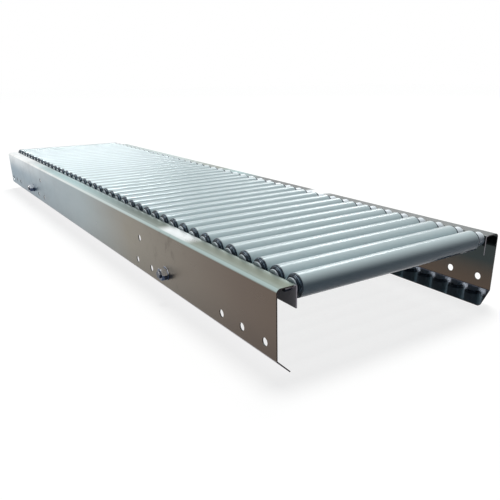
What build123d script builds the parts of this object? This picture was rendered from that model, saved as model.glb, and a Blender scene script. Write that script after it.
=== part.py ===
from build123d import *
import os
from math import cos, radians, sin

# Gravity roller conveyor section: two folded stainless side frames, tied across by two
# spacer tubes, carry a bed of free-running plastic rollers on fixed hexagonal shafts.
# Millimetres. X runs along the conveying direction, Y across, Z up. The origin is on the
# floor, under the middle of the conveyor.

# Roller bed
roller_count = 42
roller_pitch = 60.0
end_margin = 20.0           # axis of the end rollers to the end of the side frames
axis_below_top = 11.0       # roller axis to the top face of the side frames

# Rollers
tube_diameter = 50.0
tube_wall = 2.8
cap_nose_length = 8.5       # sloping part of the end cap, outside the tube
cap_nose_depth = 5.0        # radius that the slope takes off towards the side frame
cap_plug_depth = 5.0        # part of the end cap pressed into the tube

# Shafts and bearing hubs
hex_across_flats = 11.0
shaft_stub = 15.0           # shaft end that passes through the lip into the channel
hub_diameter = 35.0         # barrel on which the end cap turns
left_hub_collar = 3.0       # hub between the side frame and the cap
right_hub_collar = 24.0     # longer, so that the rollers lie over to the left
running_clearance = 0.05    # radial, cap bore to hub
lip_hole_clearance = 0.1    # shaft flat to punched hole, each side

# Side frames, folded from one sheet
frame_width = 660.0         # over the outer faces of the two webs
web_height = 150.0          # bottom fold to top face
top_flange_width = 48.0
lip_depth = 48.5
foot_flange_width = 50.0    # slanted bottom flange, along its slope
foot_flange_angle = 45.0    # degrees from the web's plane, inwards
sheet = 2.5
shoulder_radius = 10.0      # outside radius of the fold from web to top flange
fold_radius = 4.0           # outside radius of the other two folds
foot_corner_radius = 8.0

# Holes in the webs, heights above the bottom fold
bolt_hole_diameter = 18.0
splice_hole_count = 3
splice_end_distance = 40.0
splice_pitch = 86.0
splice_height = 28.0
leg_hole_distances = (600.0, 700.0)     # from the nearer frame end
leg_hole_height = 26.0
brace_hole_distance = 670.0
brace_hole_height = 96.0

# Cross ties
tie_end_distance = 500.0
tie_height = 40.0           # above the bottom fold
tie_rod_diameter = 20.0
tie_hole_diameter = 22.0
tie_rod_overhang = 5.0      # rod end beyond the nut
spacer_tube_diameter = 33.7
spacer_tube_wall = 2.6
nut_across_flats = 30.0
nut_height = 16.0
nut_chamfer = 1.5
washer_diameter = 37.0
washer_thickness = 3.0
thread_clearance = 0.1      # radial, rod to nut and washer

# Places that follow from the driving dimensions
frame_length = (roller_count - 1) * roller_pitch + 2 * end_margin
foot_angle = radians(foot_flange_angle)
fold_z = foot_flange_width * cos(foot_angle)
foot_reach = foot_flange_width * sin(foot_angle)
top_z = fold_z + web_height
axis_z = top_z - axis_below_top
web_outer_y = frame_width / 2
web_inner_y = web_outer_y - sheet
lip_inner_y = web_outer_y - top_flange_width
lip_outer_y = lip_inner_y + sheet
lip_tip_z = top_z - lip_depth
tube_radius = tube_diameter / 2
tube_bore_radius = tube_radius - tube_wall
cap_face_y = lip_inner_y - (left_hub_collar + right_hub_collar) / 2     # from the roller's own middle
tube_end_y = cap_face_y - cap_nose_length
cap_inner_y = tube_end_y - cap_plug_depth
roller_middle_y = (right_hub_collar - left_hub_collar) / 2
hub_radius = hub_diameter / 2
cap_bore_radius = hub_radius + running_clearance
shaft_end_y = lip_outer_y + shaft_stub
tie_z = fold_z + tie_height
nut_seat_y = web_outer_y + washer_thickness
rod_end_y = nut_seat_y + nut_height + tie_rod_overhang
roller_xs = [(i - (roller_count - 1) / 2) * roller_pitch for i in range(roller_count)]


def from_both_ends(distance):
    """X places at one distance from each end of the side frames."""
    return [-frame_length / 2 + distance, frame_length / 2 - distance]


tie_xs = from_both_ends(tie_end_distance)


def across(x, z, y_low, y_high, radius):
    """Round bar along Y between two places."""
    disc = Plane((x, y_low, z), x_dir=(1, 0, 0), z_dir=(0, 1, 0)) * Circle(radius)
    return extrude(disc, y_high - y_low)


def hex_bar(x, z, y_low, y_high, across_flats):
    """Hexagonal bar along Y with a flat on top and one below."""
    hexagon = RegularPolygon(across_flats / 2, 6, major_radius=False)
    return extrude(Plane((x, y_low, z), x_dir=(1, 0, 0), z_dir=(0, 1, 0)) * hexagon, y_high - y_low)


def turned(*outline):
    """Ring turned about the Y axis from an outline of (y, radius) points."""
    section = make_face(Plane.YZ * Polyline(*outline, close=True))
    return revolve(section, Axis.Y)


def other_side(piece):
    """The same piece on the right-hand side of the conveyor."""
    return mirror(piece, about=Plane.XZ)


def roller_tube():
    """Plain plastic tube of the roller."""
    return turned(
        (-tube_end_y, tube_bore_radius),
        (-tube_end_y, tube_radius),
        (tube_end_y, tube_radius),
        (tube_end_y, tube_bore_radius),
    )


def roller_cap():
    """Moulded end cap: a nose that slopes down from the tube, and a plug, with the bearing bore."""
    return turned(
        (cap_face_y, cap_bore_radius),
        (cap_face_y, tube_radius - cap_nose_depth),
        (tube_end_y, tube_radius),
        (tube_end_y, tube_bore_radius),
        (cap_inner_y, tube_bore_radius),
        (cap_inner_y, cap_bore_radius),
    )


def roller():
    """Tube with its two caps, one turning piece, with its middle at the origin and its axis along Y."""
    cap = roller_cap()
    return roller_tube() + cap + other_side(cap)


def bearing_hub(collar):
    """Standing half of the bearing on the left: a barrel from the side frame into the cap, on the shaft."""
    inner_y = lip_inner_y - collar - cap_nose_length - cap_plug_depth
    barrel = across(0, 0, inner_y, lip_inner_y, hub_radius)
    return barrel - hex_bar(0, 0, inner_y, lip_inner_y, hex_across_flats)


def web_hole(x, height, diameter):
    """Drill through the left web, at a height above the bottom fold."""
    return across(x, fold_z + height, web_inner_y - sheet, web_outer_y + sheet, diameter / 2)


def side_frame():
    """Left side frame: slanted foot flange, web, top flange and lip, folded from one sheet."""
    outside = FilletPolyline(
        (web_outer_y - foot_reach, 0),
        (web_outer_y, fold_z),
        (web_outer_y, top_z),
        (lip_inner_y, top_z),
        (lip_inner_y, lip_tip_z),
        radius=[fold_radius, shoulder_radius, fold_radius],
    )
    section = make_face(outside.offset_2d(sheet, side=Side.LEFT))
    frame = extrude(Plane.YZ * section, frame_length / 2, both=True)
    foot_corners = frame.edges().filter_by(lambda edge: abs(edge.length - sheet) < sheet / 100)
    frame = fillet(foot_corners.sort_by(Axis.Z)[:2], foot_corner_radius)
    drills = [
        web_hole(x, splice_height, bolt_hole_diameter)
        for i in range(splice_hole_count)
        for x in from_both_ends(splice_end_distance + i * splice_pitch)
    ]
    drills += [
        web_hole(x, leg_hole_height, bolt_hole_diameter)
        for distance in leg_hole_distances
        for x in from_both_ends(distance)
    ]
    brace_xs = from_both_ends(brace_hole_distance)
    drills += [web_hole(x, brace_hole_height, bolt_hole_diameter) for x in brace_xs]
    drills += [web_hole(x, tie_height, tie_hole_diameter) for x in tie_xs]
    punched = hex_across_flats + 2 * lip_hole_clearance
    drills += [hex_bar(x, axis_z, lip_inner_y - sheet, lip_outer_y + sheet, punched) for x in roller_xs]
    return frame - drills


def tie_rod(x):
    """Threaded rod through both webs and the spacer tube."""
    return across(x, tie_z, -rod_end_y, rod_end_y, tie_rod_diameter / 2)


def spacer_tube(x):
    """Tube that holds the two webs apart."""
    outer = across(x, tie_z, -web_inner_y, web_inner_y, spacer_tube_diameter / 2)
    return outer - across(x, tie_z, -web_inner_y, web_inner_y, spacer_tube_diameter / 2 - spacer_tube_wall)


def tie_washer(x):
    """Plain washer under the nut."""
    outer = across(x, tie_z, web_outer_y, nut_seat_y, washer_diameter / 2)
    return outer - across(x, tie_z, web_outer_y, nut_seat_y, tie_rod_diameter / 2 + thread_clearance)


def tie_nut(x):
    """Hexagonal nut, its outer corners chamfered by the cone that a real nut has."""
    blank = hex_bar(x, tie_z, nut_seat_y, nut_seat_y + nut_height, nut_across_flats)
    corner_radius = nut_across_flats / 2 / cos(radians(30))
    cone = turned(
        (0, 0),
        (0, corner_radius),
        (nut_height - nut_chamfer, corner_radius),
        (nut_height, nut_across_flats / 2),
        (nut_height, 0),
    )
    bore = across(x, tie_z, nut_seat_y, nut_seat_y + nut_height, tie_rod_diameter / 2 + thread_clearance)
    return (blank & Pos(x, nut_seat_y, tie_z) * cone) - bore


def on_both_sides(pieces):
    """The pieces and their copies on the right-hand side."""
    return [copy for piece in pieces for copy in (piece, other_side(piece))]


def write(name, *pieces):
    """One STEP file for one named node."""
    solids = [solid for piece in pieces for solid in piece.solids()]
    export_step(solids[0] if len(solids) == 1 else Compound(children=solids), f"parts/{name}.step")


os.makedirs("parts", exist_ok=True)

left_frame = side_frame()
write("left_side_frame", left_frame)
write("right_side_frame", other_side(left_frame))

one_roller = roller()
for number, x in enumerate(roller_xs, start=1):
    write(f"roller_{number:02d}", Pos(x, roller_middle_y, axis_z) * one_roller)

left_hub = bearing_hub(left_hub_collar)
right_hub = other_side(bearing_hub(right_hub_collar))
write("bearing_hubs", *[Pos(x, 0, axis_z) * hub for x in roller_xs for hub in (left_hub, right_hub)])
shaft = hex_bar(0, 0, -shaft_end_y, shaft_end_y, hex_across_flats)
write("roller_shafts", *[Pos(x, 0, axis_z) * shaft for x in roller_xs])

write("cross_tie_tubes", *[spacer_tube(x) for x in tie_xs])
write("cross_tie_rods", *[tie_rod(x) for x in tie_xs])
write("tie_washers", *on_both_sides([tie_washer(x) for x in tie_xs]))
write("tie_nuts", *on_both_sides([tie_nut(x) for x in tie_xs]))
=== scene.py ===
from contextlib import contextmanager
from math import cos, pi, radians, sin, tan

import bmesh
import bpy
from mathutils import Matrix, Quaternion, Vector


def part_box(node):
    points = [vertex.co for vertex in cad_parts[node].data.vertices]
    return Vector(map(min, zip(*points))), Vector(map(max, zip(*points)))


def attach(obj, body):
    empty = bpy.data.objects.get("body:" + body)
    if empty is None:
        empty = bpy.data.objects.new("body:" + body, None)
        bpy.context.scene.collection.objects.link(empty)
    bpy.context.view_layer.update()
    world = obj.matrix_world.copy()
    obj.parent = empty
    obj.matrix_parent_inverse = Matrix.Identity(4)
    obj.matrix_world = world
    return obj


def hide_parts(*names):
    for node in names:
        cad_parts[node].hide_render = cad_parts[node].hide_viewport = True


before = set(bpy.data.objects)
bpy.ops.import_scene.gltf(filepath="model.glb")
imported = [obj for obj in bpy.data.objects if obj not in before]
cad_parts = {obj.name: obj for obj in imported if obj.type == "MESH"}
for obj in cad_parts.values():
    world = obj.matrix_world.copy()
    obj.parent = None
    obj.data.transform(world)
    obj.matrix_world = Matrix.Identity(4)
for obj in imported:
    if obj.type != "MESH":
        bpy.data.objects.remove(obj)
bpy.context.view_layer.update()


# Side frames
# Two mirror-image channels of 2.5 mm stainless sheet, one down each side. Each is one sheet
# with three folds, for the slanted foot, the rounded shoulder and the lip that carries the
# shafts, and its holes are punched.
frame_low, frame_high = (Vector(corner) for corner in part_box("left_side_frame"))
frame_length = frame_high.x - frame_low.x
web_y, lip_y, top_z = frame_high.y, frame_low.y, frame_high.z
sheet = 0.0025
foot_width, foot_angle = 0.050, radians(45)
fold_z = foot_width * cos(foot_angle)
lip_depth = 0.0485
shoulder_radius, fold_radius, foot_corner_radius = 0.010, 0.004, 0.008
burr_radius = 0.0003

bolt_hole_radius, tie_hole_radius = 0.009, 0.011
splice_places = [(0.040 + i * 0.086, 0.028) for i in range(3)]
stand_places = [(0.600, 0.026), (0.700, 0.026), (0.670, 0.096)]
tie_place = (0.500, 0.040)
tie_from_middle = frame_length / 2 - tie_place[0]
shaft_hole_width = 0.0112
hole_corners, rim_corners = 48, 64
drill_reach = 3 * sheet
close, merge_distance = 1e-4, 1e-6

roller_names = sorted(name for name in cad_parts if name.startswith("roller_") and name[-2:].isdigit())
roller_boxes = [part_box(name) for name in roller_names]
roller_xs = [(low[0] + high[0]) / 2 for low, high in roller_boxes]
axis_z = (roller_boxes[0][0][2] + roller_boxes[0][1][2]) / 2


def add(name, primitive, **settings):
    """A primitive of its real size at its real place, alone in the selection."""
    bpy.ops.object.select_all(action="DESELECT")
    primitive(**settings)
    piece = bpy.context.object
    piece.name = piece.data.name = name
    bpy.ops.object.transform_apply(location=True, rotation=True, scale=True)
    return piece


def only(piece, *others):
    """Selects this piece, and any others with it, and makes it the active one."""
    bpy.ops.object.select_all(action="DESELECT")
    for other in others:
        other.select_set(True)
    piece.select_set(True)
    bpy.context.view_layer.objects.active = piece


@contextmanager
def edit_mode(piece):
    """Edit mode on one piece."""
    only(piece)
    bpy.ops.object.mode_set(mode="EDIT")
    yield
    bpy.ops.object.mode_set(mode="OBJECT")


def pick(piece, kind, test):
    """In edit mode, selects just the vertices, edges or faces whose middle passes the test."""
    bpy.ops.mesh.select_mode(type=kind)
    bpy.ops.mesh.select_all(action="DESELECT")
    mesh = bmesh.from_edit_mesh(piece.data)
    for item in {"VERT": mesh.verts, "EDGE": mesh.edges, "FACE": mesh.faces}[kind]:
        corners = [item] if kind == "VERT" else item.verts
        if test(sum((corner.co for corner in corners), Vector()) / len(corners)):
            item.select_set(True)
    mesh.select_flush_mode()
    bmesh.update_edit_mesh(piece.data)


def apply_modifier(piece, kind, **settings):
    """Adds a modifier, sets it and applies it."""
    only(piece)
    modifier = piece.modifiers.new(kind.lower(), kind)
    for key, value in settings.items():
        setattr(modifier, key, value)
    bpy.ops.object.modifier_apply(modifier=modifier.name)


def join(name, pieces):
    """Makes several pieces one mesh."""
    only(pieces[0], *pieces[1:])
    bpy.ops.object.join()
    pieces[0].name = pieces[0].data.name = name
    return pieces[0]


def copy_of(piece, name, shift=(0, 0, 0), mirrored=False):
    """A copy with its own mesh, moved, or mirrored to the other side of the conveyor."""
    twin = piece.copy()
    twin.data = piece.data.copy()
    twin.name = twin.data.name = name
    bpy.context.collection.objects.link(twin)
    twin.location = shift
    twin.scale.y = -1 if mirrored else 1
    only(twin)
    bpy.ops.object.transform_apply(location=True, rotation=True, scale=True)
    if mirrored:
        turn_outwards(twin)
    return twin


def turn_outwards(piece):
    """Merges doubled points and points every face outwards."""
    with edit_mode(piece):
        bpy.ops.mesh.select_all(action="SELECT")
        bpy.ops.mesh.remove_doubles(threshold=merge_distance)
        bpy.ops.mesh.normals_make_consistent(inside=False)


def cut(piece, tools, operation="DIFFERENCE"):
    """Cuts a piece with others, which are used up."""
    tool = join("cutter", tools)
    apply_modifier(piece, "BOOLEAN", operation=operation, solver="EXACT", object=tool)
    bpy.data.objects.remove(tool)


def ease_edges(piece, radius, segments=2):
    """Rounds every sharp edge a little and shades the piece smooth, with its flats kept flat."""
    apply_modifier(
        piece, "BEVEL", width=radius, segments=segments, limit_method="ANGLE", angle_limit=radians(35),
        use_clamp_overlap=True,
    )
    only(piece)
    bpy.ops.object.shade_smooth()
    apply_modifier(piece, "WEIGHTED_NORMAL", weight=100)


def bar_across(x, z, y_low, y_high, radius, corners):
    """Round or hexagonal bar along Y, a hexagon with a flat on top."""
    turned = pi / corners if corners == 6 else 0
    return add(
        "bar", bpy.ops.mesh.primitive_cylinder_add, vertices=corners, radius=radius, depth=y_high - y_low,
        location=(x, (y_low + y_high) / 2, z), rotation=(pi / 2, turned, 0),
    )


def from_both_ends(distance):
    """X places at one distance from each end of the side frames."""
    return [frame_low.x + distance, frame_high.x - distance]


def at_fold(y, z):
    """A test for the edge that is to become one of the folds."""
    return lambda p: abs(p.y - y) < close and abs(p.z - z) < close


def folded_sheet():
    """The left side frame's outer skin, folded up and given its thickness inwards."""
    web = add(
        "left_side_sheet", bpy.ops.mesh.primitive_plane_add, size=top_z - fold_z,
        location=(0, web_y, (top_z + fold_z) / 2), rotation=(-pi / 2, 0, 0),
    )
    with edit_mode(web):
        bpy.ops.mesh.select_all(action="SELECT")
        bpy.ops.transform.resize(value=(frame_length / (top_z - fold_z), 1, 1))
        pick(web, "EDGE", at_fold(web_y, fold_z))
        bpy.ops.mesh.extrude_edges_move(
            TRANSFORM_OT_translate={"value": (0, -foot_width * sin(foot_angle), -fold_z)}
        )
        pick(web, "EDGE", at_fold(web_y, top_z))
        bpy.ops.mesh.extrude_edges_move(TRANSFORM_OT_translate={"value": (0, lip_y - web_y, 0)})
        bpy.ops.mesh.extrude_edges_move(TRANSFORM_OT_translate={"value": (0, 0, -lip_depth)})
        pick(web, "EDGE", at_fold(web_y, top_z))
        bpy.ops.mesh.bevel(offset=shoulder_radius, segments=12, profile=0.5, affect="EDGES")
        pick(web, "EDGE", at_fold(lip_y, top_z))
        bpy.ops.mesh.bevel(offset=fold_radius, segments=8, profile=0.5, affect="EDGES")
        pick(web, "EDGE", at_fold(web_y, fold_z))
        bpy.ops.mesh.bevel(offset=fold_radius * tan(foot_angle / 2), segments=6, profile=0.5, affect="EDGES")
        pick(web, "VERT", lambda p: p.z < close)
        bpy.ops.mesh.bevel(offset=foot_corner_radius, segments=8, profile=0.5, affect="VERTICES")
    apply_modifier(web, "SOLIDIFY", thickness=sheet, offset=-1, use_even_offset=True)
    return web


def punch(sheet_piece):
    """Bolt and tie holes through the web, and a hexagonal hole in the lip for each shaft."""
    drills = [
        bar_across(x, fold_z + height, web_y - drill_reach, web_y + sheet, bolt_hole_radius, hole_corners)
        for distance, height in splice_places + stand_places
        for x in from_both_ends(distance)
    ]
    drills += [
        bar_across(
            x, fold_z + tie_place[1], web_y - drill_reach, web_y + sheet, tie_hole_radius, hole_corners
        )
        for x in from_both_ends(tie_place[0])
    ]
    corner_radius = shaft_hole_width / 2 / cos(pi / 6)
    drills += [bar_across(x, axis_z, lip_y - sheet, lip_y + 2 * sheet, corner_radius, 6) for x in roller_xs]
    cut(sheet_piece, drills)


class Signal:
    """The output of a shader node, which adds, subtracts, multiplies and divides as a number does."""

    def __init__(self, finish, socket):
        self.finish = finish
        self.socket = socket

    def math(self, operation, *values):
        return self.finish.node("ShaderNodeMath", {"operation": operation}, dict(enumerate(values)))

    def __add__(self, other):
        return self.math("ADD", self, other)

    def __sub__(self, other):
        return self.math("SUBTRACT", self, other)

    def __rsub__(self, other):
        return self.math("SUBTRACT", other, self)

    def __mul__(self, other):
        return self.math("MULTIPLY", self, other)

    def __truediv__(self, other):
        return self.math("DIVIDE", self, other)

    def __abs__(self):
        return self.math("ABSOLUTE", self)

    __radd__ = __add__
    __rmul__ = __mul__


class Finish:
    """A procedural material. Its nodes read places on the object, and feed one Principled shader."""

    def __init__(self, name, **constants):
        self.material = bpy.data.materials.new(name)
        self.material.use_nodes = True
        self.tree = self.material.node_tree
        self.tree.nodes.clear()
        self.shader = self.tree.nodes.new("ShaderNodeBsdfPrincipled")
        output = self.tree.nodes.new("ShaderNodeOutputMaterial")
        self.tree.links.new(self.shader.outputs[0], output.inputs["Surface"])
        for key, value in constants.items():
            self.shader.inputs[key.replace("_", " ").title().replace("Ior", "IOR")].default_value = value
        self.place = self.node("ShaderNodeTexCoord", output="Object")

    def node(self, kind, settings=None, sockets=None, output=0):
        """Adds a node, first set up and then wired, and returns one of its outputs."""
        node = self.tree.nodes.new(kind)
        for key, value in (settings or {}).items():
            if key == "stops":
                for inner_stop in value[1:-1]:
                    node.color_ramp.elements.new(inner_stop[0])
                for stop, (place, colour) in zip(node.color_ramp.elements, value):
                    stop.position = place
                    stop.color = colour
            else:
                setattr(node, key, value)
        for key, value in (sockets or {}).items():
            if isinstance(value, Signal):
                self.tree.links.new(value.socket, node.inputs[key])
            else:
                node.inputs[key].default_value = value
        return Signal(self, node.outputs[output])

    def feed(self, **signals):
        """Wires signals to the shader's sockets."""
        for key, signal in signals.items():
            self.tree.links.new(signal.socket, self.shader.inputs[key.replace("_", " ").title()])

    def axis(self, vector, name):
        """One component of a vector."""
        return self.node("ShaderNodeSeparateXYZ", sockets={0: vector}, output=name)

    def noise(self, stretch, detail=3.0, roughness=0.5):
        """Noise whose cells per metre along X, Y and Z are given."""
        cells = self.node("ShaderNodeMapping", sockets={"Vector": self.place, "Scale": stretch})
        return self.node(
            "ShaderNodeTexNoise",
            sockets={"Vector": cells, "Scale": 1.0, "Detail": detail, "Roughness": roughness},
        )

    def ramp(self, value, *stops):
        """A colour that follows a value."""
        return self.node("ShaderNodeValToRGB", {"stops": stops}, {0: value})

    def between(self, value, low, high, out_low=0.0, out_high=1.0):
        """Carries one range of a value smoothly to another, and no further."""
        return self.node(
            "ShaderNodeMapRange", {"interpolation_type": "SMOOTHSTEP"},
            {0: value, 1: low, 2: high, 3: out_low, 4: out_high},
        )

    def mix(self, factor, first, second, way="MIX"):
        """A colour between two colours."""
        return self.node(
            "ShaderNodeMix", {"data_type": "RGBA", "blend_type": way},
            {0: factor, 6: first, 7: second}, output=2,
        )

    def bump(self, height, distance, strength=1.0):
        """Relief of a height in metres."""
        return self.node(
            "ShaderNodeBump", sockets={"Strength": strength, "Distance": distance, "Height": height},
            output="Normal",
        )


# Painted reflections: tones of what the steel mirrors, painted into its colour, warm and dark at the near
# end, cold light at the far end
warm_grey = (0.12, 0.09, 0.07, 1)
olive_grey = (0.19, 0.17, 0.13, 1)
cool_grey = (0.24, 0.30, 0.32, 1)
deep_blue = (0.09, 0.19, 0.27, 1)
moss_grey = (0.15, 0.18, 0.14, 1)
dark_green = (0.04, 0.08, 0.06, 1)
sea_grey = (0.28, 0.45, 0.46, 1)
soot_grey = (0.045, 0.055, 0.055, 1)
dull_silver = (0.38, 0.48, 0.47, 1)
bright_silver = (0.94, 0.96, 0.95, 1)
painted_window_reflection = (0.76, 0.80, 0.81, 1)
# Painted fill light for faces that look down.
painted_fill_grey = (0.58, 0.55, 0.60, 1)
foot_blue = (0.31, 0.34, 0.39, 1)
cut_dark, cut_bright = (0.025, 0.020, 0.020, 1), (0.18, 0.17, 0.19, 1)


def painted_web_reflections(finish, along, drift, height):
    """Painted reflections: the web turns from warm to blue along the frame, and its upper part pales behind
    the middle with a painted window reflection.
    """
    colour = finish.ramp(
        along + drift * 0.08, (0.05, warm_grey), (0.30, olive_grey), (0.50, cool_grey), (1.0, deep_blue)
    )
    # Painted reflection of a window: the upper web pales behind the middle.
    painted_window_glare = finish.between(height, fold_z + 0.070, top_z) * finish.between(along, 0.52, 1.05)
    return finish.mix(painted_window_glare, colour, painted_window_reflection)


def painted_left_top_reflections(finish, place, side, painted_shoulder_sheen):
    """Left top flange, painted reflections: a light band near the front, dark behind it, pale at the far end
    and its edges.
    """
    colour = finish.ramp(place, (0.14, moss_grey), (0.30, dark_green), (0.52, sea_grey))
    # Painted reflection of a window: a light band across the flange near the front.
    window = finish.between(place, 0.14, 0.165) * finish.between(place, 0.225, 0.20)
    colour = finish.mix(window, colour, painted_window_reflection)
    colour = finish.mix(finish.between(place, 0.68, 0.86), colour, painted_window_reflection)
    # Painted sheen: the flange's edges take the shoulder's painted tone.
    edges = 0.3 * finish.between(side, 0.930, 0.985) + 0.35 * finish.between(side, 0.905, 0.875)
    return finish.mix(edges, colour, painted_shoulder_sheen)


def painted_right_top_reflections(finish, place):
    """Right top flange, painted reflections: dark over its first part but for a narrow light band, and dull
    silver behind.
    """
    colour = finish.ramp(
        place, (0.40, soot_grey), (0.48, sea_grey), (0.54, moss_grey), (0.70, dull_silver)
    )
    # Painted reflection of a window: a narrow light band across the flange.
    window = finish.between(place, 0.24, 0.265) * finish.between(place, 0.295, 0.275)
    return finish.mix(window, colour, painted_window_reflection)


def stainless_sheet():
    """Satin mill finish: rolling marks along the sheet, wiped patches, and stains around the ties, laid over
    painted reflections, painted shade inside and low on the web, and painted fill light on faces that look
    down.
    """
    finish = Finish("stainless_sheet", metallic=1.0)
    along = finish.axis(finish.place, "X") / frame_length + 0.5
    side = finish.axis(finish.place, "Y") / web_y
    height = finish.axis(finish.place, "Z")
    facing = finish.node("ShaderNodeTexCoord", output="Normal")
    up = finish.axis(facing, "Z")
    out = finish.axis(facing, "Y") * side

    drift = finish.noise((1.4, 3.0, 5.0), detail=2.0) - 0.5
    top_place = along + drift * 0.02
    # Painted sheen: the shoulder's colour brightens from dull to bright silver along the frame.
    painted_shoulder_sheen = finish.ramp(along + drift * 0.08, (0.20, dull_silver), (0.85, bright_silver))
    right_top = painted_right_top_reflections(finish, top_place)
    on_right = finish.between(side, 0.1, -0.1)
    top = finish.mix(on_right, painted_left_top_reflections(finish, top_place, side, painted_shoulder_sheen), right_top)
    painted_shoulder_sheen = finish.mix(on_right, painted_shoulder_sheen, right_top)
    outer = finish.mix(finish.between(up, 0.20, 0.60), painted_web_reflections(finish, along, drift, height), painted_shoulder_sheen)
    outer = finish.mix(finish.between(up, 0.86, 0.995), outer, top)
    on_lip = finish.between(abs(side), 0.885, 0.875)
    # Painted fill light: faces that look down, and the outer face of the lip, are painted a light grey, and
    # made rougher.
    painted_fill_mask = finish.between(up, -0.3, -0.8) + on_lip * finish.between(out, 0.2, 0.8)
    outer = finish.mix(painted_fill_mask, outer, painted_fill_grey)
    inside = finish.between(out, -0.05, -0.45)
    foot = finish.between(up, 0.40, 0.65) * inside * finish.between(height, fold_z + 0.012, fold_z + 0.004)
    # Painted shade: the inner faces of the channel are dark, warm at the bottom and near black from halfway
    # up.
    inner = finish.ramp(finish.between(height, fold_z, top_z), (0.0, warm_grey), (0.5, soot_grey))
    colour = finish.mix(inside, outer, finish.mix(foot, inner, foot_blue))
    end_face = finish.between(abs(finish.axis(facing, "X")), 0.6, 0.8)
    colour = finish.mix(end_face, colour, finish.mix(on_lip, cut_dark, cut_bright))

    low_shade = finish.between(height, fold_z, fold_z + 0.09, 0.84, 1.0)
    grain = finish.noise((3.0, 700.0, 700.0), detail=3.0, roughness=0.6)
    wipe = finish.noise((9.0, 9.0, 16.0), detail=4.0, roughness=0.6)
    stains = finish.between(finish.noise((38.0, 38.0, 24.0), detail=5.0, roughness=0.7), 0.52, 0.70)
    from_tie = abs(abs(along - 0.5) * frame_length - tie_from_middle)
    stained = stains * finish.between(from_tie, 0.16, 0.03)
    smears = finish.between(finish.noise((7.0, 7.0, 12.0), detail=5.0, roughness=0.65), 0.42, 0.66)
    smeared = smears * finish.between(along, 0.50, 0.75)
    tone = low_shade * (0.95 + 0.06 * grain + 0.06 * wipe) - 0.16 * stained - 0.16 * smeared
    grey = finish.node("ShaderNodeCombineColor", sockets={0: tone, 1: tone, 2: tone})
    satin = 0.20 + 0.10 * grain + 0.10 * wipe + 0.10 * stained
    finish.feed(
        base_color=finish.mix(1.0, colour, grey, "MULTIPLY"),
        roughness=satin - 0.15 * inside - 0.08 * foot + 0.25 * painted_fill_mask,
        normal=finish.bump(grain, 0.00002, 0.5),
    )
    return finish.material


left_sheet = folded_sheet()
punch(left_sheet)
right_sheet = copy_of(left_sheet, "right_side_sheet", mirrored=True)
stainless = stainless_sheet()
for piece, node in ((left_sheet, "left_side_frame"), (right_sheet, "right_side_frame")):
    ease_edges(piece, burr_radius)
    piece.data.materials.clear()
    piece.data.materials.append(stainless)
    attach(piece, "frame")
    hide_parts(node)


# Cross ties
# Two drawn stainless tubes stand between the webs and set the width of the conveyor. They
# are cut square, and the rods through them clamp them between the webs.
tie_xs = from_both_ends(tie_place[0])
tie_z = fold_z + tie_place[1]
web_inner_y = web_y - sheet
tie_tube_radius, tie_tube_wall, tie_tube_edge_radius = 0.01685, 0.0026, 0.0004


def ring_edges(radius, x, z, y):
    """A test for the edges of a circle about a Y axis, by their middles."""

    def on_ring(p):
        from_axis = ((p.x - x) ** 2 + (p.z - z) ** 2) ** 0.5
        return abs(abs(p.y) - y) < close / 10 and abs(from_axis - radius) < close

    return on_ring


def tie_tube(x):
    """Open tube with its wall turned inwards and its cut ends eased."""
    tube = add(
        "tie_tube", bpy.ops.mesh.primitive_cylinder_add, vertices=rim_corners, radius=tie_tube_radius,
        depth=2 * web_inner_y, end_fill_type="NOTHING", location=(x, 0, tie_z), rotation=(pi / 2, 0, 0),
    )
    apply_modifier(tube, "SOLIDIFY", thickness=tie_tube_wall, offset=-1)
    ease_edges(tube, tie_tube_edge_radius)
    return tube


def drawn_tube():
    """Drawn tube: fine lines along its length and a dull film in patches."""
    finish = Finish("drawn_stainless_tube", metallic=1.0)
    lines = finish.noise((500.0, 4.0, 500.0), detail=3.0)
    film = finish.noise((12.0, 7.0, 12.0), detail=3.0)
    finish.feed(
        base_color=finish.mix(film, (0.20, 0.19, 0.18, 1), (0.33, 0.33, 0.34, 1)),
        roughness=0.24 + 0.14 * lines,
        normal=finish.bump(lines, 0.00002, 0.5),
    )
    return finish.material


tie_tubes = join("cross_tie_tube_pair", [tie_tube(x) for x in tie_xs])
tie_tubes.data.materials.append(drawn_tube())
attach(tie_tubes, "frame")
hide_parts("cross_tie_tubes")


# Tie rods
# M20 studs through both webs and the tube between them. Only their ends are threaded, and
# each end is cut square a little proud of its nut.
rod_end_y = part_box("cross_tie_rods")[1][1]
rod_radius, thread_pitch, thread_depth = 0.010, 0.0025, 0.0013
thread_length = 0.030
thread_start_y = rod_end_y - thread_length
thread_turns = round(thread_length / thread_pitch) + 1
thread_steps = 40
shank_edge_radius = 0.0005


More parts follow.
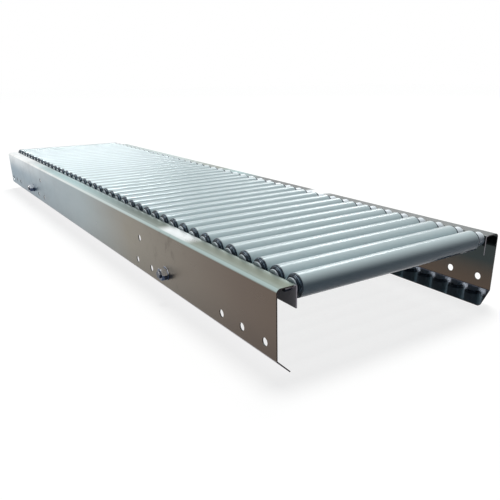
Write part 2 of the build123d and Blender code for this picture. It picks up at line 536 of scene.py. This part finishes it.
def rod_end(x):
    """Threaded end of the left side: one tooth wound up into a screw and cut square at both ends."""
    tooth = add("rod_end", bpy.ops.mesh.primitive_plane_add, size=1, rotation=(pi / 2, pi / 4, 0))
    with edit_mode(tooth):
        pick(tooth, "VERT", lambda p: p.x < -0.1)
        bpy.ops.mesh.delete(type="VERT")
        bpy.ops.mesh.select_all(action="SELECT")
        reach = max(vertex.co.z for vertex in tooth.data.vertices)
        bpy.ops.transform.resize(
            value=(thread_depth / reach, 1, thread_pitch / 2 / reach), center_override=(0, 0, 0)
        )
        bpy.ops.transform.translate(value=(rod_radius - thread_depth, 0, 0))
    apply_modifier(
        tooth, "SCREW", axis="Z", screw_offset=thread_pitch, iterations=thread_turns, steps=thread_steps,
        render_steps=thread_steps, use_merge_vertices=True, merge_threshold=merge_distance,
    )
    tooth.rotation_euler = (-pi / 2, 0, 0)
    tooth.location = (x, thread_start_y, tie_z)
    only(tooth)
    bpy.ops.object.transform_apply(location=True, rotation=True, scale=True)
    with edit_mode(tooth):
        for y, keeps_above in ((thread_start_y, True), (rod_end_y, False)):
            bpy.ops.mesh.select_all(action="SELECT")
            bpy.ops.mesh.bisect(
                plane_co=(0, y, 0), plane_no=(0, 1, 0), use_fill=True, clear_inner=keeps_above,
                clear_outer=not keeps_above,
            )
    turn_outwards(tooth)
    return tooth


def plated_steel(name, tint, dullness):
    """Bright machined steel with fine lathe marks and a few dull spots, with painted light on faces that
    look up and painted shade on faces that look down.
    """
    finish = Finish(name, metallic=1.0)
    facing = finish.node("ShaderNodeTexCoord", output="Normal")
    # Painted light and shade: faces that look up take the bright colour, faces that look down a dark navy.
    lit = finish.between(finish.axis(facing, "Z"), -0.05, 0.45)
    shaded = (0.06 * tint[0], 0.08 * tint[1], 0.13 * tint[2], 1)
    marks = finish.noise((300.0, 900.0, 300.0), detail=2.0)
    spots = finish.noise((70.0, 70.0, 70.0), detail=4.0, roughness=0.65)
    worn = finish.between(spots, 0.45, 0.75)
    bright = finish.mix(worn, (*tint, 1), tuple(0.62 * part for part in tint) + (1,))
    finish.feed(
        base_color=finish.mix(lit, shaded, bright),
        roughness=dullness + 0.10 * marks + 0.15 * worn,
        normal=finish.bump(marks, 0.00003, 0.4),
    )
    return finish.material


def rod(x):
    """Stud: two threaded ends joined by the plain length inside the tube."""
    left = rod_end(x)
    right = copy_of(left, "rod_end", mirrored=True)
    shank = bar_across(x, tie_z, -thread_start_y, thread_start_y, rod_radius - thread_depth, thread_steps)
    ease_edges(shank, shank_edge_radius)
    return join("tie_rod", [left, right, shank])


rods = join("tie_rod_pair", [rod(x) for x in tie_xs])
only(rods)
bpy.ops.object.shade_smooth_by_angle(angle=radians(25))
rods.data.materials.clear()
rods.data.materials.append(plated_steel("rod_steel", (0.46, 0.46, 0.47), 0.20))
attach(rods, "frame")
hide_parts("cross_tie_rods")


# Washers and nuts
# A plain washer and an M20 hexagon nut close each end of the two rods. The washer is
# stamped, and the nut is turned from bar with both faces chamfered.
washer_radius, washer_height = 0.0185, 0.003
nut_width, nut_height, nut_chamfer = 0.030, 0.016, 0.0018
rod_clearance, cone_allowance = 0.0001, 0.0001
rod_hole_radius = rod_radius + rod_clearance
washer_edge_radius, nut_edge_radius = 0.0005, 0.0004


def washer(x):
    """Stamped disc with its rim eased and a hole for the rod."""
    disc = bar_across(x, tie_z, web_y, web_y + washer_height, washer_radius, rim_corners)
    hole = bar_across(x, tie_z, web_y - sheet, web_y + 2 * washer_height, rod_hole_radius, hole_corners)
    cut(disc, [hole])
    ease_edges(disc, washer_edge_radius)
    return disc


def nut(x):
    """Hexagon bar cut by a cone at each face and bored, with its edges eased."""
    seat_y = web_y + washer_height
    face_y = seat_y + nut_height
    corner_radius = nut_width / 2 / cos(pi / 6)
    body = bar_across(x, tie_z, seat_y, face_y, corner_radius, 6)
    cone = bar_across(x, tie_z, seat_y, face_y, corner_radius + cone_allowance, 2 * hole_corners)
    with edit_mode(cone):
        pick(cone, "EDGE", lambda p: min(abs(p.y - seat_y), abs(p.y - face_y)) < close / 10)
        bpy.ops.mesh.bevel(offset=nut_chamfer, segments=1, affect="EDGES")
    cut(body, [cone], "INTERSECT")
    cut(body, [bar_across(x, tie_z, seat_y - sheet, face_y + sheet, rod_hole_radius, hole_corners)])
    ease_edges(body, nut_edge_radius)
    return body


nut_steel = plated_steel("nut_steel", (0.88, 0.90, 0.94), 0.14)
for make, name, node in ((washer, "tie_washer_set", "tie_washers"), (nut, "tie_nut_set", "tie_nuts")):
    ones = [make(x) for x in tie_xs]
    ones += [copy_of(one, name, mirrored=True) for one in ones]
    fasteners = join(name, ones)
    only(fasteners)
    apply_modifier(fasteners, "WEIGHTED_NORMAL", weight=100)
    fasteners.data.materials.clear()
    fasteners.data.materials.append(nut_steel)
    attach(fasteners, "frame")
    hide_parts(node)


# Shafts
# Bright drawn hexagon bar, 11 mm across flats, cut to length. The ends pass through the
# punched holes of the lips, so that the shafts cannot turn.
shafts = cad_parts["roller_shafts"]
shafts.data.materials.clear()
shafts.data.materials.append(plated_steel("shaft_steel", (0.40, 0.40, 0.41), 0.24))


# Bearing hubs
# Light grey nylon mouldings that sit on the hexagon of the shaft and stand still inside the
# turning end caps. The right ones have a longer collar, so that the rollers lie to the left.
hub_low, hub_high = (Vector(corner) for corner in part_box("bearing_hubs"))
hub_radius = (hub_high.z - hub_low.z) / 2
shaft_width = 0.011
cap_nose_length, cap_plug_depth = 0.0085, 0.005
right_face_y, left_face_y = (corner[1] for corner in roller_boxes[0])
hub_edge_radius = 0.0012
groove_depth, groove_side, groove_floor = 0.0006, 0.0004, 0.0006
hub_steps = 48


def spun(name, outline, x, z, steps):
    """Turned piece: a closed outline of (y, radius) points drawn point by point, spun about a Y axis."""
    at = [Vector((x, y, z + radius)) for y, radius in outline]
    seed = 0.001
    seed_middle = at[0] + Vector((seed, seed, 0)) / 2
    piece = add(name, bpy.ops.mesh.primitive_plane_add, size=seed, location=seed_middle)
    with edit_mode(piece):
        pick(piece, "VERT", lambda p: (p - at[0]).length > seed / 2)
        bpy.ops.mesh.delete(type="VERT")
        bpy.ops.mesh.select_all(action="SELECT")
        for start, end in zip(at, at[1:]):
            bpy.ops.mesh.extrude_vertices_move(TRANSFORM_OT_translate={"value": end - start})
        pick(piece, "VERT", lambda p: min((p - at[0]).length, (p - at[-1]).length) < merge_distance)
        bpy.ops.mesh.edge_face_add()
        bpy.ops.mesh.select_all(action="SELECT")
        bpy.ops.mesh.spin(steps=steps, angle=2 * pi, center=(x, 0, z), axis=(0, 1, 0), use_auto_merge=True)
    turn_outwards(piece)
    return piece


def hub(name, face_y, sign):
    """Hub of the first roller on one side: rounded at the lip, with a shallow groove beside the cap."""
    x = roller_xs[0]
    inner_y = face_y - sign * (cap_nose_length + cap_plug_depth)
    floor_y = face_y + sign * groove_side
    floor_end_y = floor_y + sign * groove_floor
    outline = [
        (inner_y, shaft_width / 2), (inner_y, hub_radius), (face_y, hub_radius),
        (floor_y, hub_radius - groove_depth), (floor_end_y, hub_radius - groove_depth),
        (floor_end_y + sign * groove_side, hub_radius),
        (sign * lip_y, hub_radius), (sign * lip_y, shaft_width / 2),
    ]
    piece = spun(name, outline, x, axis_z, hub_steps)
    with edit_mode(piece):
        pick(piece, "EDGE", ring_edges(hub_radius * cos(pi / hub_steps), x, axis_z, lip_y))
        bpy.ops.mesh.bevel(offset=hub_edge_radius, segments=3, profile=0.5, affect="EDGES")
    only(piece)
    bpy.ops.object.shade_smooth_by_angle(angle=radians(40))
    return piece


def nylon():
    """Moulded nylon: slightly waxy, with faint flow marks and patches of grime, its light grey painted near
    white as painted light for the shade it sits in.
    """
    finish = Finish("hub_nylon", coat_weight=0.15, coat_roughness=0.25)
    flow = finish.noise((40.0, 90.0, 40.0), detail=3.0)
    grime = finish.between(finish.noise((55.0, 55.0, 55.0), detail=4.0, roughness=0.6), 0.50, 0.85)
    # Painted light: the light grey nylon is painted near white for the shade between the caps and the lips.
    clean = finish.mix(flow, (0.76, 0.86, 0.93, 1), (0.86, 0.93, 0.98, 1))
    finish.feed(
        base_color=finish.mix(grime * 0.35, clean, (0.30, 0.31, 0.31, 1)),
        roughness=0.32 + 0.20 * grime + 0.08 * flow,
        normal=finish.bump(flow, 0.00008, 0.4),
    )
    return finish.material


hub_pair = [hub("left_hub", left_face_y, 1), hub("right_hub", right_face_y, -1)]
hubs = hub_pair + [
    copy_of(one, one.name, shift=(x - roller_xs[0], 0, 0)) for x in roller_xs[1:] for one in hub_pair
]
hub_set = join("bearing_hub_set", hubs)
hub_set.data.materials.clear()
hub_set.data.materials.append(nylon())
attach(hub_set, "frame")
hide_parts("bearing_hubs")


# Rollers
# Extruded light grey plastic tube, 50 mm across, closed at each end by a black moulded cap.
# The cap's nose steps down from the tube's size to the hub, and turns on the hub with the tube.
tube_radius = (roller_boxes[0][1][2] - roller_boxes[0][0][2]) / 2
roller_middle_y = (left_face_y + right_face_y) / 2
face_reach = left_face_y - roller_middle_y
tube_reach = face_reach - cap_nose_length
tube_wall, running_gap = 0.0028, 0.00005
seam_depth = 0.0004
nose_face_radius = 0.020
nose_steps = [
    (0.0002, 0.0246), (0.0031, 0.0246), (0.0037, 0.0236), (0.0041, 0.0228), (0.0048, 0.0232),
    (0.0058, 0.0229), (0.0062, 0.0214), (0.0068, 0.0212), (0.0079, 0.0210),
    (cap_nose_length, nose_face_radius),
]
roller_steps = 72
roller_pitch = roller_xs[1] - roller_xs[0]


def roller():
    """The first roller: tube, seam and stepped noses in one closed outline, spun about its axis."""
    bore, inner = hub_radius + running_gap, tube_radius - tube_wall
    plug_reach = tube_reach - cap_plug_depth
    half = [(plug_reach, inner), (plug_reach, bore), (face_reach, bore)]
    half += [(tube_reach + reach, radius) for reach, radius in reversed(nose_steps)]
    half += [(tube_reach, tube_radius - seam_depth), (tube_reach - seam_depth, tube_radius)]
    outline = half + [(-reach, radius) for reach, radius in reversed(half)]
    outline = [(roller_middle_y + reach, radius) for reach, radius in outline]
    piece = spun("roller", outline, roller_xs[0], axis_z, roller_steps)
    only(piece)
    bpy.ops.object.shade_smooth_by_angle(angle=radians(32))
    piece.data.materials.clear()
    piece.data.materials.append(tube_plastic())
    piece.data.materials.append(cap_plastic())
    for face in piece.data.polygons:
        face.material_index = 1 if abs(face.center.y - roller_middle_y) > tube_reach else 0
    return piece


def tube_plastic():
    """Extruded tube: glossy pale grey with faint lines along it, and a haze of fine dust and scuffs."""
    finish = Finish("roller_tube_plastic", specular_ior_level=0.36, specular_tint=(0.80, 0.93, 1.0, 1))
    lines = finish.noise((420.0, 2.0, 420.0), detail=2.0)
    haze = finish.noise((26.0, 5.0, 26.0), detail=4.0, roughness=0.6)
    scuffs = finish.between(finish.noise((160.0, 45.0, 160.0), detail=5.0, roughness=0.7), 0.56, 0.80)
    clean = finish.mix(haze, (0.53, 0.64, 0.665, 1), (0.60, 0.71, 0.735, 1))
    finish.feed(
        base_color=finish.mix(scuffs * 0.25, clean, (0.38, 0.46, 0.48, 1)),
        roughness=0.115 + 0.06 * haze + 0.12 * scuffs,
        normal=finish.bump(lines, 0.00003, 0.3),
    )
    return finish.material


def cap_plastic():
    """Moulded black cap: glossy, with a fine orange-peel surface, and painted pale blue highlights in flecks
    along its two raised rims, where the rubbed flecks are also rougher.
    """
    finish = Finish("cap_plastic", specular_ior_level=0.32, specular_tint=(0.62, 0.82, 1.0, 1))
    from_first = finish.axis(finish.place, "X") - roller_xs[0]
    from_axis = from_first.math("WRAP", from_first, roller_pitch / 2, -roller_pitch / 2)
    above_axis = finish.axis(finish.place, "Z") - axis_z
    squared = from_axis * from_axis + above_axis * above_axis
    up_the_nose = (squared.math("SQRT", squared) - nose_face_radius) / (tube_radius - nose_face_radius)
    # Painted highlights: pale blue flecks on the two raised rims of the nose.
    painted_rim_highlights = finish.ramp(
        up_the_nose,
        (0.48, (0, 0, 0, 1)), (0.58, (1, 1, 1, 1)), (0.66, (0.1, 0.1, 0.1, 1)), (0.80, (0.7, 0.7, 0.7, 1)),
        (0.90, (0, 0, 0, 1)),
    )
    peel = finish.noise((420.0, 420.0, 420.0), detail=2.0)
    rubbed_and_highlit_flecks = finish.between(finish.noise((110.0, 110.0, 110.0), detail=5.0, roughness=0.7), 0.38, 0.58)
    finish.feed(
        base_color=finish.mix(rubbed_and_highlit_flecks * painted_rim_highlights, (0.002, 0.006, 0.014, 1), (0.40, 0.53, 0.65, 1)),
        roughness=0.20 + 0.10 * peel + 0.15 * rubbed_and_highlit_flecks,
        normal=finish.bump(peel, 0.00006, 0.4),
    )
    return finish.material


first_roller = roller()
rollers = [first_roller] + [
    copy_of(first_roller, "roller", shift=(x - roller_xs[0], 0, 0)) for x in roller_xs[1:]
]
for piece, node in zip(rollers, roller_names):
    piece.name = piece.data.name = f"{node}_tube_and_caps"
    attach(piece, node)
    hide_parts(node)


# Floor, light and camera
# A plain white studio floor under an even sky, a broad soft lamp high overhead and a tall
# window lamp beyond the far right corner. The camera stands off the near left corner, a little
# above the bed.
floor_size = 60.0
white = (1, 1, 1)
floor_glow, floor_paint = 0.80, (0.25, 0.25, 0.25)
floor_dim, sky_dim = (0.022, 0.034, 0.056), (0.66, 0.84, 1.0)
sky_dim_strength = 0.06


def empty_tree(owner):
    """The nodes of a material or a sky, cleared."""
    owner.use_nodes = True
    owner.node_tree.nodes.clear()
    return owner.node_tree


def plain_shader(tree, kind, colour, strength=None):
    """A shader of one colour, and of a strength if it gives light."""
    shader = tree.nodes.new(kind)
    shader.inputs["Color"].default_value = (*colour, 1)
    if strength is not None:
        shader.inputs["Strength"].default_value = strength
    return shader


def larger(tree, first, second):
    """The larger of two sockets' values."""
    node = tree.nodes.new("ShaderNodeMath")
    node.operation = "MAXIMUM"
    tree.links.new(first, node.inputs[0])
    tree.links.new(second, node.inputs[1])
    return node.outputs[0]


def show(tree, output_kind, seen, scattered):
    """One shader for the camera, mirrors and glass, and another for the light that is thrown around."""
    path = tree.nodes.new("ShaderNodeLightPath")
    in_mirrors = larger(tree, path.outputs["Is Glossy Ray"], path.outputs["Is Transmission Ray"])
    in_view = larger(tree, path.outputs["Is Camera Ray"], in_mirrors)
    choice = tree.nodes.new("ShaderNodeMixShader")
    output = tree.nodes.new(output_kind)
    tree.links.new(in_view, choice.inputs[0])
    tree.links.new(scattered.outputs[0], choice.inputs[1])
    tree.links.new(seen.outputs[0], choice.inputs[2])
    tree.links.new(choice.outputs[0], output.inputs["Surface"])


def studio_floor():
    """White to the eye and in reflections, with the soft shadow kept, and dark blue to scattered light."""
    material = bpy.data.materials.new("studio_floor")
    tree = empty_tree(material)
    seen = tree.nodes.new("ShaderNodeAddShader")
    glow = plain_shader(tree, "ShaderNodeEmission", white, floor_glow)
    paint = plain_shader(tree, "ShaderNodeBsdfDiffuse", floor_paint)
    tree.links.new(glow.outputs[0], seen.inputs[0])
    tree.links.new(paint.outputs[0], seen.inputs[1])
    show(tree, "ShaderNodeOutputMaterial", seen, plain_shader(tree, "ShaderNodeBsdfDiffuse", floor_dim))
    return material


floor = add("studio_floor", bpy.ops.mesh.primitive_plane_add, size=floor_size)
floor.data.materials.append(studio_floor())

world = bpy.data.worlds.new("even_sky")
bpy.context.scene.world = world
sky = empty_tree(world)
show(
    sky, "ShaderNodeOutputWorld", plain_shader(sky, "ShaderNodeBackground", white, 1.0),
    plain_shader(sky, "ShaderNodeBackground", sky_dim, sky_dim_strength),
)


def aimed(name, kind, came_from, distance=1.0):
    """A lamp that shines on the conveyor from one direction."""
    lamp = bpy.data.objects.new(name, bpy.data.lights.new(name, kind))
    lamp.location = Vector(came_from).normalized() * distance
    lamp.rotation_mode = "QUATERNION"
    lamp.rotation_quaternion = Vector(came_from).to_track_quat("Z", "Y")
    lamp.data.color = (1.0, 0.995, 0.98)
    lamp.visible_camera = False
    bpy.context.collection.objects.link(lamp)
    return lamp.data


overhead = aimed("overhead_light", "SUN", (0.31, -0.25, 1.0))
overhead.energy = 2.5
overhead.angle = radians(22)
window = aimed("window_light", "AREA", (0.44, -0.60, 0.67), distance=12.0)
window.energy = 330
window.shape = "RECTANGLE"
window.size, window.size_y = 3.0, 6.5

camera_place = Vector((-2.0171, 0.8591, 0.5432))
camera_looks = Vector((0.76912, -0.51683, -0.37595))
camera_roll = radians(0.64)
camera = bpy.data.objects.new("camera", bpy.data.cameras.new("camera"))
camera.data.lens = 39.54
camera.data.shift_x = -0.04
camera.data.shift_y = 0.10
camera.location = camera_place
camera.rotation_mode = "QUATERNION"
camera.rotation_quaternion = camera_looks.to_track_quat("-Z", "Y") @ Quaternion((0, 0, 1), -camera_roll)
bpy.context.collection.objects.link(camera)
bpy.context.scene.camera = camera
bpy.context.scene.view_settings.view_transform = "Standard"
